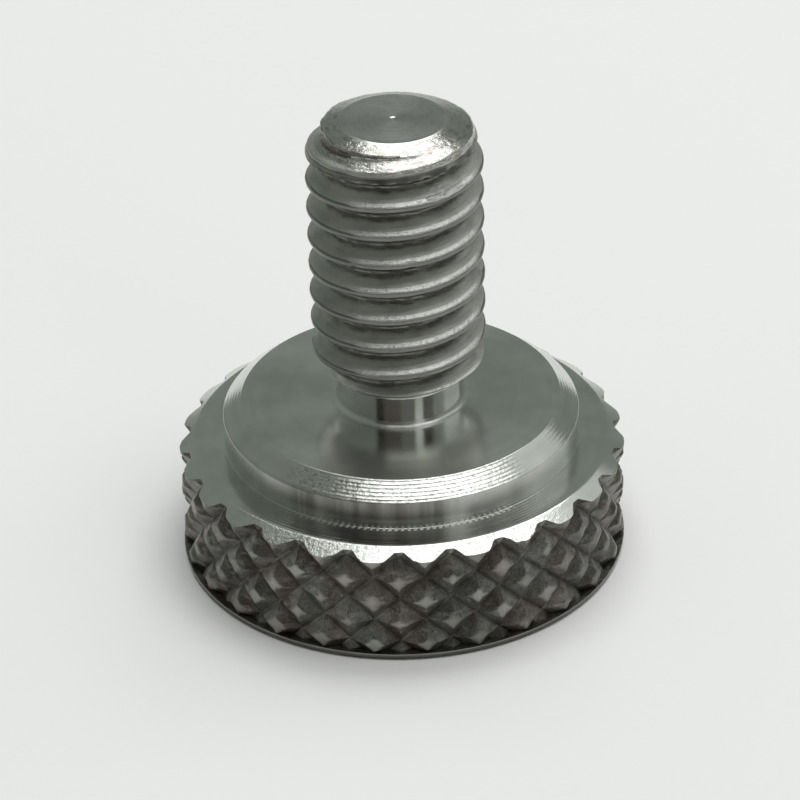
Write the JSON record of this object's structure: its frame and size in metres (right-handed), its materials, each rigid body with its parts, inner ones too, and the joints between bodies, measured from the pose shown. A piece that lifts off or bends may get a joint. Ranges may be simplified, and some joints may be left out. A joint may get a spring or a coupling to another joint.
{
  "type": "flat head thumb screw",
  "caption": "Knurled flat head thumb screw with a stepped collar, an undercut neck and a coarse metric thread, turned from one piece of stainless steel.",
  "frame": {"origin": "centre of the head's flat face, the face it stands on", "axes": "+Z along the screw's axis, from the head through the collar to the thread's tip; -Y is the front; turning it clockwise seen from the head's side drives it along +Z"},
  "size_m": [0.0102, 0.0102, 0.0108],
  "materials": {
    "steel": "bright turned stainless steel with fine rings left by the lathe"
  },
  "bodies": {
    "root": {"thumb_screw": "steel"}
  },
  "joints": []
}
